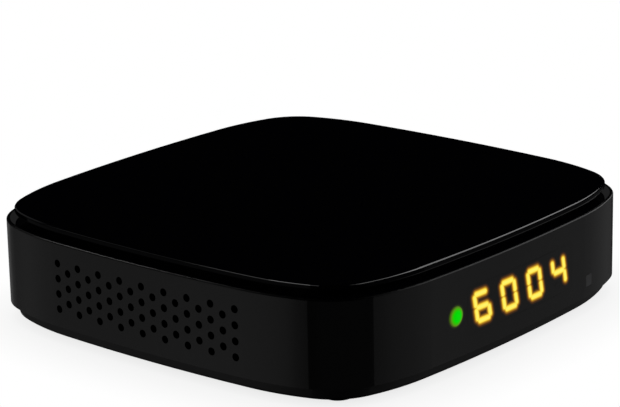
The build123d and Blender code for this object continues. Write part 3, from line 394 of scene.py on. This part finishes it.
# grey ribbon, ribbed along its wires
wire_scale = 500.0
rib_height = 0.0001
ribbon_material = moulded("ribbon_grey", (0.34, 0.34, 0.36), 0.55)
ribbon_tree = ribbon_material.node_tree
wires = add(
    ribbon_tree,
    "TexWave",
    {"Vector": add(ribbon_tree, "TexCoord").outputs["Object"], "Scale": wire_scale},
    bands_direction="X",
)
ribs = add(ribbon_tree, "Bump", {"Height": wires.outputs["Fac"], "Strength": 1.0, "Distance": rib_height})
ribbon_tree.links.new(ribs.outputs["Normal"], ribbon_tree.nodes["Principled BSDF"].inputs["Normal"])
dress(ribbon_material, "display_ribbon")

# ---------------------------------------------------------------- satin wall
# One moulding with bowed sides, in fine satin charcoal. The vents are moulded through it, and its
# top edge is lightly rounded. The display window has the same skin, so it doesn't show.
wall_colour = (0.0042, 0.0042, 0.0045)
wall_roughness = 0.27
wall_material = moulded("satin_charcoal", wall_colour, wall_roughness, depth=0.000004, drift=0.02)
dress(wall_material, "housing")

# ---------------------------------------------------------------- display
# Four leaning digits of light bars behind a smoked window. Round each bar a glow is painted into the
# emission of the smoked plastic, which gives the strokes an orange edge that dies away within two
# millimetres.
digit_lean = tan(radians(12.0))
# colour of the light, from the middle line of a bar out to the reach of its painted glow
glow_reach = 0.0020
bar_colours = (
    (0.0, (1.0, 0.89, 0.15, 1.0)),
    (0.22, (1.0, 0.83, 0.09, 1.0)),
    (0.36, (0.78, 0.47, 0.022, 1.0)),
    (0.52, (0.30, 0.120, 0.003, 1.0)),
    (0.74, (0.050, 0.015, 0.0, 1.0)),
    (1.0, (0.0, 0.0, 0.0, 1.0)),
)


def loose_parts(mesh):
    """The vertices of each separate shell in a mesh, in the order of the mesh."""
    bm = bmesh.new()
    bm.from_mesh(mesh)
    bmesh.ops.remove_doubles(bm, verts=bm.verts, dist=0.000001)
    shells = []
    for start in bm.verts:
        if start.tag:
            continue
        start.tag = True
        shell = [start]
        for vert in shell:
            for edge in vert.link_edges:
                other = edge.other_vert(vert)
                if not other.tag:
                    other.tag = True
                    shell.append(other)
        shells.append([vert.co.copy() for vert in shell])
    bm.free()
    return shells


# distance from the line down the middle of a light bar, once the digit's lean is taken out
bar_group, bar_in, bar_out = new_group(
    "bar_distance", {"Place": "Vector", "Middle": "Vector", "Reach": "Vector"}, {"Distance": "Float"}
)
bar_offset = add(
    bar_group, "VectorMath", {0: bar_in.outputs["Place"], 1: bar_in.outputs["Middle"]}, operation="SUBTRACT"
)
bar_side = add(bar_group, "VectorMath", {0: bar_offset.outputs[0]}, operation="ABSOLUTE")
bar_past = add(
    bar_group, "VectorMath", {0: bar_side.outputs[0], 1: bar_in.outputs["Reach"]}, operation="SUBTRACT"
)
bar_clear = add(bar_group, "VectorMath", {0: bar_past.outputs[0], 1: (0, 0, 0)}, operation="MAXIMUM")
bar_length = add(bar_group, "VectorMath", {0: bar_clear.outputs[0]}, operation="LENGTH")
bar_group.links.new(bar_length.outputs["Value"], bar_out.inputs["Distance"])


def colour_ramp(tree, factor, colours):
    """Colour that runs smoothly through (position, colour) pairs as the factor goes from 0 to 1."""
    ramp = add(tree, "ValToRGB", {"Fac": factor})
    ramp.color_ramp.interpolation = "EASE"
    ramp.color_ramp.elements[0].color = colours[0][1]
    ramp.color_ramp.elements[1].color = colours[-1][1]
    for position, colour in colours[1:-1]:
        ramp.color_ramp.elements.new(position).color = colour
    return ramp.outputs["Color"]


def bar_light(material):
    """Paints light into a material's emission by its distance from the lit bars: yellow in them, then amber,
    then dark.
    """
    tree = material.node_tree
    apart = add(tree, "SeparateXYZ", {0: add(tree, "TexCoord").outputs["Object"]})
    upright = add(
        tree,
        "Math",
        {0: apart.outputs["Z"], 1: digit_lean, 2: apart.outputs["X"]},
        operation="MULTIPLY_ADD",
    )
    place = add(tree, "CombineXYZ", {"X": upright.outputs[0], "Y": apart.outputs["Z"]}).outputs[0]
    nearest = None
    for shell in loose_parts(frame["nodes"]["light_bars_lit"].data):
        across = [co.x + digit_lean * co.z for co in shell]
        along = [co.z for co in shell]
        middle = ((min(across) + max(across)) / 2, (min(along) + max(along)) / 2, 0.0)
        half = ((max(across) - min(across)) / 2, (max(along) - min(along)) / 2)
        thick = min(half)
        reach = (half[0] - thick, half[1] - thick, 1.0)
        bar = add(tree, "Group", {"Place": place, "Middle": middle, "Reach": reach}, node_tree=bar_group)
        distance = bar.outputs["Distance"]
        if nearest is None:
            nearest = distance
        else:
            nearest = add(tree, "Math", {0: nearest, 1: distance}, operation="MINIMUM").outputs[0]
    away = add(tree, "MapRange", {"Value": nearest, "From Min": 0.0, "From Max": glow_reach})
    shader = tree.nodes["Principled BSDF"]
    tree.links.new(colour_ramp(tree, away.outputs["Result"], bar_colours), shader.inputs["Emission Color"])
    shader.inputs["Emission Strength"].default_value = 1.0


# the window, and the unlit bars beside the lit ones, get the painted glow
window_material = moulded("smoked_window", wall_colour, wall_roughness, depth=0.000004, drift=0.02)
bar_light(window_material)
dress(window_material, "display_window", "light_bars_unlit")

lit_material = moulded("amber_bars", (0.25, 0.18, 0.02), 0.4, drift=0.02)
bar_light(lit_material)
dress(lit_material, "light_bars_lit")
dress(moulded("module_black", (0.02, 0.02, 0.02), 0.5), "display_module", "ir_receiver")

# ---------------------------------------------------------------- status lamp and infrared window
# The lamp is a clear green lens flush in the wall. The infrared window is a small square of dark
# plastic that only infrared light passes, a little lighter than the wall.
lens_low, lens_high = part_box("status_lens")
lens_middle = (lens_low + lens_high) / 2
lens_radius = (lens_high.x - lens_low.x) / 2
# colour of the light from the middle of the lens to its rim
lamp_colours = (
    (0.0, (0.0, 0.70, 0.0, 1.0)),
    (0.50, (0.0, 0.66, 0.0, 1.0)),
    (0.72, (0.03, 0.50, 0.0, 1.0)),
    (0.88, (0.09, 0.28, 0.01, 1.0)),
    (1.0, (0.06, 0.13, 0.01, 1.0)),
)
# colour of its glow, painted on the wall, which dies away within this reach
lamp_glow = 0.0008
glow_colours = (
    (0.0, (0.05, 0.11, 0.008, 1.0)),
    (0.45, (0.016, 0.028, 0.001, 1.0)),
    (1.0, (0.0, 0.0, 0.0, 1.0)),
)
lens_material = moulded("green_lens", (0.001, 0.02, 0.001), 0.3, drift=0.02)
lens_tree = lens_material.node_tree
lens_place = add(
    lens_tree,
    "Mapping",
    {
        "Vector": add(lens_tree, "TexCoord").outputs["Object"],
        "Location": (-lens_middle.x / lens_radius, 0.0, -lens_middle.z / lens_radius),
        "Scale": (1 / lens_radius, 0.0, 1 / lens_radius),
    },
)
lens_far = add(lens_tree, "VectorMath", {0: lens_place.outputs[0]}, operation="LENGTH")
lens_ramp = colour_ramp(lens_tree, lens_far.outputs["Value"], lamp_colours)
lens_shader = lens_tree.nodes["Principled BSDF"]
lens_shader.inputs["Specular IOR Level"].default_value = 0.1
lens_tree.links.new(lens_ramp, lens_shader.inputs["Emission Color"])
lens_shader.inputs["Emission Strength"].default_value = 1.0
dress(lens_material, "status_lens", "status_led")

# the lamp's glow, painted into the wall's emission round it
wall_tree = wall_material.node_tree
wall_place = add(wall_tree, "TexCoord").outputs["Object"]
glow_place = add(wall_tree, "VectorMath", {0: wall_place, 1: lens_middle}, operation="SUBTRACT")
glow_far = add(wall_tree, "VectorMath", {0: glow_place.outputs[0]}, operation="LENGTH")
glow_share = add(
    wall_tree,
    "MapRange",
    {"Value": glow_far.outputs["Value"], "From Min": lens_radius, "From Max": lens_radius + lamp_glow},
)
glow_ramp = colour_ramp(wall_tree, glow_share.outputs["Result"], glow_colours)
wall_shader = wall_tree.nodes["Principled BSDF"]
wall_tree.links.new(glow_ramp, wall_shader.inputs["Emission Color"])
wall_shader.inputs["Emission Strength"].default_value = 1.0
dress(moulded("infrared_filter", (0.12, 0.12, 0.125), 0.3, drift=0.02), "ir_window")

# ---------------------------------------------------------------- rear panel
# A black powder-coated steel plate, with the fine orange peel of the coating. It slides down
# behind the rear wall and carries the sockets.
dress(moulded("panel_black", (0.010, 0.010, 0.011), 0.42, grain_size=0.0006, depth=0.00002), "rear_panel")

# ---------------------------------------------------------------- aerial connectors
# Nickel-plated brass barrels with a 3/8-32 thread rolled outside the nut. A white insulator inside
# holds the gold-flashed centre contact.
nickel = metal("nickel_plate", (0.60, 0.57, 0.51), 0.2, stretch=(2500.0, 2500.0, 2500.0), drift=0.08)
thread_pitch = 0.000794
thread_root = 0.00436
thread_crest_half = 0.00006
thread_foot_half = 0.00036
thread_clear = 0.0001
thread_end_share = 0.15
thread_turn_steps = 40
thread_start_past_nut = 0.0005
shank_radius = 0.0044625
barrel_radius = thread_root + 0.00004
barrel_segments = 64
bore_radius = 0.0034
bore_chamfer = 0.0001
bore_floor = 0.0015
tip_chamfer = 0.0004
tip_face_radius = thread_root - 0.00028
barrel_crisp_angle = radians(35)

nut_low, nut_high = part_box("aerial_nuts")


def revolve(profile, centre, steps):
    """Turns a chain of (y, radius) points about the Y axis through centre, into a closed shell."""
    bm = bmesh.new()
    verts = [bm.verts.new((centre.x + radius, y, centre.z)) for y, radius in profile]
    edges = [bm.edges.new(pair) for pair in zip(verts, verts[1:])]
    bmesh.ops.spin(
        bm,
        geom=verts + edges,
        cent=(centre.x, 0, centre.z),
        axis=(0, 1, 0),
        angle=2 * pi,
        steps=steps,
        use_merge=True,
    )
    bmesh.ops.remove_doubles(bm, verts=bm.verts, dist=0.0000005)
    bmesh.ops.recalc_face_normals(bm, faces=bm.faces)
    return bm


def add_thread(bm, centre, crest, start, end):
    """Winds a tapering helical ridge up to the crest radius round the barrel, from start to end along Y."""
    profile = (
        (start, thread_root),
        (start + thread_foot_half - thread_crest_half, crest),
        (start + thread_foot_half + thread_crest_half, crest),
        (start + 2 * thread_foot_half, thread_root),
    )
    verts = [bm.verts.new((centre.x + radius, y, centre.z)) for y, radius in profile]
    face = bm.faces.new(verts)
    turns = (end - start - 2 * thread_foot_half) / thread_pitch
    steps = int(turns * thread_turn_steps)
    before = set(bm.verts) - set(verts)
    bmesh.ops.spin(
        bm,
        geom=[face, *face.edges, *verts],
        cent=(centre.x, 0, centre.z),
        axis=(0, 1, 0),
        dvec=(0, thread_pitch / thread_turn_steps, 0),
        angle=2 * pi * steps / thread_turn_steps,
        steps=steps,
    )
    for vert in bm.verts:
        if vert in before:
            continue
        outwards = Vector((vert.co.x - centre.x, vert.co.z - centre.z))
        ends = min(vert.co.y - start, end - vert.co.y) / thread_pitch
        height = (outwards.length - thread_root) * min(1.0, max(thread_end_share, ends))
        outwards = outwards.normalized() * (thread_root + height)
        vert.co.x = centre.x + outwards.x
        vert.co.z = centre.z + outwards.y


def finished(name, bm, material, body="receiver"):
    """Makes the bmesh a piece that rides on a body and has a material slot, and frees it."""
    mesh = bpy.data.meshes.new(name)
    bm.to_mesh(mesh)
    bm.free()
    mesh.materials.append(material)
    piece = bpy.data.objects.new(name, mesh)
    scene.collection.objects.link(piece)
    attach(piece, body)
    return piece


for node in ("lnb_in_connector", "loop_out_connector"):
    barrel_low, barrel_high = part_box(node)
    centre = (barrel_low + barrel_high) / 2
    crest = (barrel_high.x - barrel_low.x) / 2
    thread_from = nut_high.y + thread_start_past_nut
    tip = barrel_high.y
    barrel = revolve(
        [
            (barrel_low.y, 0.0),
            (barrel_low.y, shank_radius),
            (thread_from - thread_clear, shank_radius),
            (thread_from, barrel_radius),
            (tip - tip_chamfer, barrel_radius),
            (tip, tip_face_radius),
            (tip, bore_radius + bore_chamfer),
            (tip - bore_chamfer, bore_radius),
            (barrel_low.y + bore_floor, bore_radius),
            (barrel_low.y + bore_floor, 0.0),
        ],
        centre,
        barrel_segments,
    )
    add_thread(barrel, centre, crest, thread_from, tip - tip_chamfer)
    bmesh.ops.recalc_face_normals(barrel, faces=barrel.faces)
    piece = finished(node.replace("connector", "barrel"), barrel, nickel)
    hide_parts(node)
    for face in piece.data.polygons:
        face.use_smooth = True
    piece.modifiers.new("crisp_edges", "EDGE_SPLIT").split_angle = barrel_crisp_angle

dress(moulded("white_insulator", (0.78, 0.77, 0.72), 0.45), "aerial_insulators")
gold = metal("contact_gold", (0.78, 0.52, 0.17), 0.22)
dress(gold, "aerial_contacts", "usb_contacts", "switch_lugs")

# ---------------------------------------------------------------- panel nuts
# Hexagon nuts of the same plated brass, with the turned chamfer that rounds their corners. They
# clamp the aerial connectors to the rear panel.
nut_flats = 0.011
nut_bore = 0.0045125
nut_face_radius = 0.0053
nut_chamfer_slope = tan(radians(30))
nut_bore_chamfer = 0.0002
nut_segments = 96
nut_crisp_angle = radians(20)


def nut_ring(bm, centre, radius_at, y_at):
    """Closed ring of vertices, whose radius and place along Y follow the angle."""
    ring = bmesh.ops.create_circle(bm, segments=nut_segments, radius=1.0)["verts"]
    for vert in ring:
        angle = Vector((vert.co.x, vert.co.y)).angle_signed(Vector((1, 0)))
        radius = radius_at(angle)
        vert.co = (centre.x + radius * cos(angle), y_at(angle), centre.z + radius * sin(angle))
    return [edge for edge in bm.edges if edge.verts[0] in ring and edge.verts[1] in ring]


def hexagon(angle):
    """Radius of the hexagon, which has a corner straight up, at an angle from the X axis."""
    return nut_flats / 2 / cos((angle + pi / 6) % (pi / 3) - pi / 6)


def corner_drop(angle):
    """How far the turned chamfer has dropped where it leaves the hexagon."""
    return max(0.0, hexagon(angle) - nut_face_radius) * nut_chamfer_slope


nuts = bmesh.new()
for node in ("lnb_in_connector", "loop_out_connector"):
    barrel_low, barrel_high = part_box(node)
    centre = (barrel_low + barrel_high) / 2
    front, back = nut_high.y, nut_low.y
    rings = [
        nut_ring(nuts, centre, lambda a: nut_bore, lambda a: back),
        nut_ring(nuts, centre, lambda a: nut_face_radius, lambda a: back),
        nut_ring(nuts, centre, hexagon, lambda a: back + corner_drop(a)),
        nut_ring(nuts, centre, hexagon, lambda a: front - corner_drop(a)),
        nut_ring(nuts, centre, lambda a: nut_face_radius, lambda a: front),
        nut_ring(nuts, centre, lambda a: nut_bore + nut_bore_chamfer, lambda a: front),
        nut_ring(nuts, centre, lambda a: nut_bore, lambda a: front - nut_bore_chamfer),
    ]
    for near, far in zip(rings, rings[1:] + rings[:1]):
        bmesh.ops.bridge_loops(nuts, edges=near + far)
bmesh.ops.recalc_face_normals(nuts, faces=nuts.faces)
panel_nuts = finished("panel_nuts", nuts, nickel)
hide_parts("aerial_nuts")
for face in panel_nuts.data.polygons:
    face.use_smooth = True
panel_nuts.modifiers.new("crisp_edges", "EDGE_SPLIT").split_angle = nut_crisp_angle

# ---------------------------------------------------------------- HDMI, USB, AV and power sockets
# Tin-plated shells round black inserts. The HDMI tongue has gold contacts above and below, and the
# AV and power sockets are plain black mouldings.
socket_tin = metal("socket_tin", (0.62, 0.62, 0.60), 0.24, stretch=(400.0, 3000.0, 3000.0))
dress(socket_tin, "hdmi_shell", "usb_shell")
socket_black = moulded("socket_black", (0.008, 0.008, 0.008), 0.38)
dress(socket_black, "hdmi_insert", "usb_insert", "av_jack", "power_inlet", "switch_body", "power_rocker")
dress(nickel, "inlet_pin")

contact_pitch = 0.001
contact_width = 0.00042
contact_thickness = 0.00006
contact_length = 0.0062
contact_from_tip = 0.0006
contact_bevel = 0.000018
contacts_above = 10
contacts_below = 9
tongue_half = 0.00065
tongue_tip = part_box("hdmi_insert")[1].y
hdmi_middle = sum(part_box("hdmi_shell"), Vector()) / 2
contacts = bmesh.new()
for count, height in ((contacts_above, tongue_half), (contacts_below, -tongue_half)):
    for number in range(count):
        x = hdmi_middle.x + (number - (count - 1) / 2) * contact_pitch
        strip = bmesh.ops.create_cube(contacts, size=1.0)["verts"]
        bmesh.ops.scale(contacts, verts=strip, vec=(contact_width, contact_length, contact_thickness))
        middle_y = tongue_tip - contact_from_tip - contact_length / 2
        bmesh.ops.translate(contacts, verts=strip, vec=(x, middle_y, hdmi_middle.z + height))
bmesh.ops.bevel(
    contacts,
    geom=contacts.edges[:],
    offset=contact_bevel,
    affect="EDGES",
    segments=1,
    profile=0.5,
    material=-1,
)
finished("hdmi_contacts", contacts, gold)

# ---------------------------------------------------------------- rocker marks
# A bar for on and a ring for off, printed in white on the two faces of the rocker. They follow the
# rocker as it tips.
pivot = Vector(frame["joints"][0]["pos_m"])
tip_angle = radians(frame["joints"][0]["range_deg"][1]) / 2
rocker_crown = 0.0026
mark_rise = 0.00003
mark_middle = 0.0027
bar_size = (0.00034, 0.0019)
ring_radius = 0.00098
ring_width = 0.00032
ring_segments = 48

white_print = moulded("white_print", (0.72, 0.72, 0.70), 0.5, grain_size=0.0001, depth=0.000003)
marks = bmesh.new()
for side in (1, -1):
    if side > 0:
        mark = bmesh.ops.create_cube(marks, size=1.0)["verts"]
        bmesh.ops.scale(marks, verts=mark, vec=(bar_size[0], bar_size[1], 2 * mark_rise))
    else:
        rings = []
        for radius, level in (
            (ring_radius - ring_width, -mark_rise),
            (ring_radius, -mark_rise),
            (ring_radius, mark_rise),
            (ring_radius - ring_width, mark_rise),
        ):
            ring = bmesh.ops.create_circle(marks, segments=ring_segments, radius=radius)["verts"]
            bmesh.ops.translate(marks, verts=ring, vec=(0, 0, level))
            rings.append(ring)
        mark = [vert for ring in rings for vert in ring]
        loops = [[e for e in marks.edges if e.verts[0] in ring and e.verts[1] in ring] for ring in rings]
        for near, far in zip(loops, loops[1:] + loops[:1]):
            bmesh.ops.bridge_loops(marks, edges=near + far)
    # each face of the rocker leans out by the tip angle from the plane of its crown
    seat = (
        Matrix.Translation(pivot)
        @ Matrix.Rotation(tip_angle, 4, "X")
        @ Matrix.Translation((0, rocker_crown, 0))
        @ Matrix.Rotation(-side * tip_angle, 4, "X")
        @ Matrix.Translation((0, 0, side * mark_middle))
        @ Matrix.Rotation(-radians(90), 4, "X")
    )
    bmesh.ops.transform(marks, matrix=seat, verts=mark)
bmesh.ops.recalc_face_normals(marks, faces=marks.faces)
finished("rocker_marks", marks, white_print, "rocker")

dress(moulded("lead_red", (0.20, 0.008, 0.008), 0.45), "switch_leads")

# ---------------------------------------------------------------- top cover and lid
# Both are gloss black. The lid is polished to a mirror and lies on the cover's platform over a
# dark gap, with a thin rounded rim that catches the light.
gloss_material = moulded(
    "piano_black", (0.0005, 0.0005, 0.0009), 0.05, grain_size=0.004, depth=0.0000004, drift=0.02, spread=0.1
)
dress(gloss_material, "lid", "top_cover")
